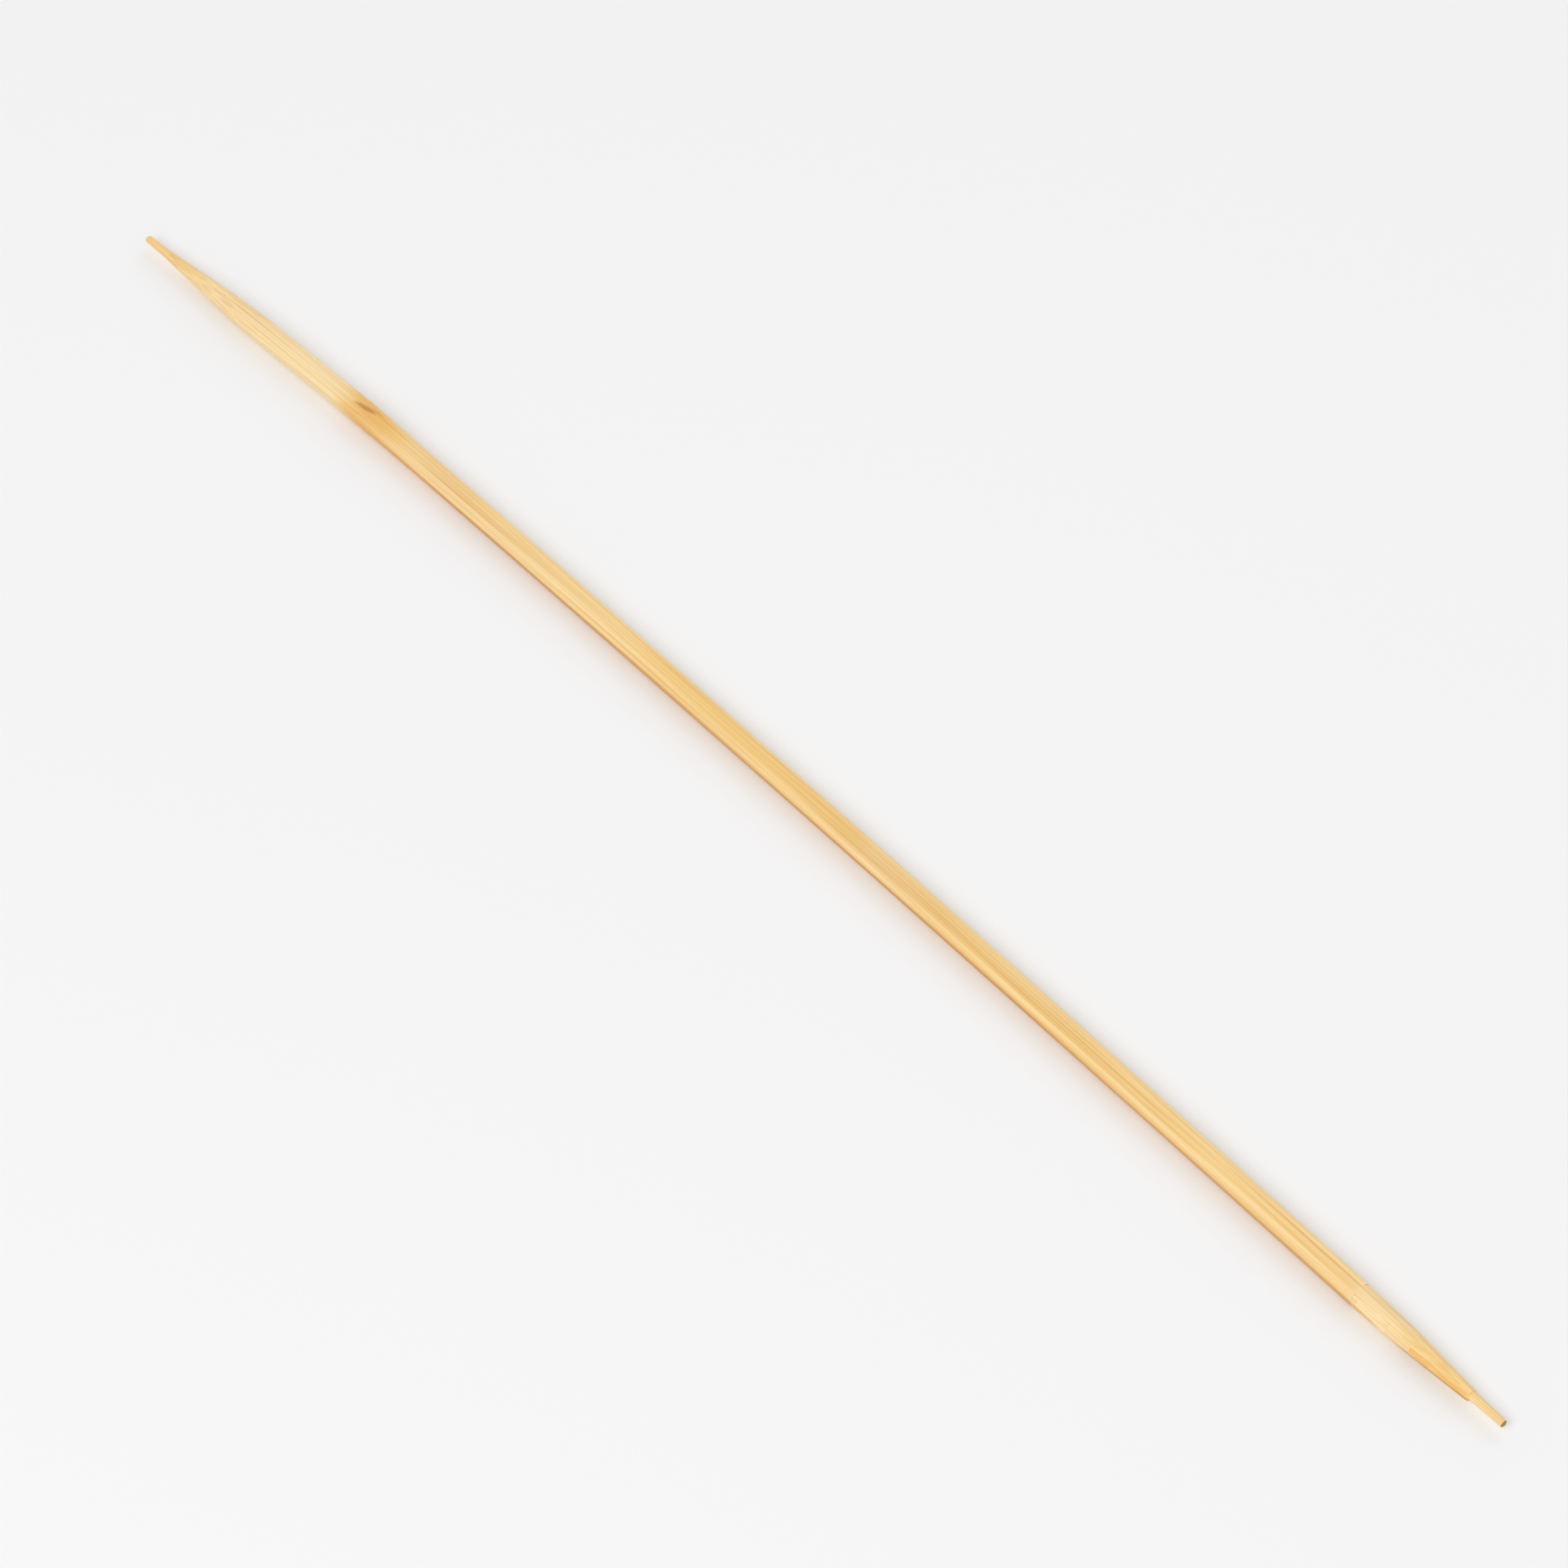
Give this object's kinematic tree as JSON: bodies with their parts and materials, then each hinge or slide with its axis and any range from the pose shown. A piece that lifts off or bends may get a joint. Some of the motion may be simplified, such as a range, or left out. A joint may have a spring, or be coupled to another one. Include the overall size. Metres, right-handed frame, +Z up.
{
  "type": "bamboo stick",
  "caption": "Thin split bamboo stick with a sharpened point at each end, for skewering food, lying on its flat underside.",
  "frame": {"origin": "under the middle of the stick, at the centre of its box, in the plane of its underside", "axes": "+X from the short point to the long point, +Y towards the outside of the slight bow, +Z up"},
  "size_m": [0.2, 0.0036, 0.0026],
  "materials": {
    "bamboo": "satin"
  },
  "bodies": {
    "root": {"bamboo_stick": "bamboo"}
  },
  "joints": []
}
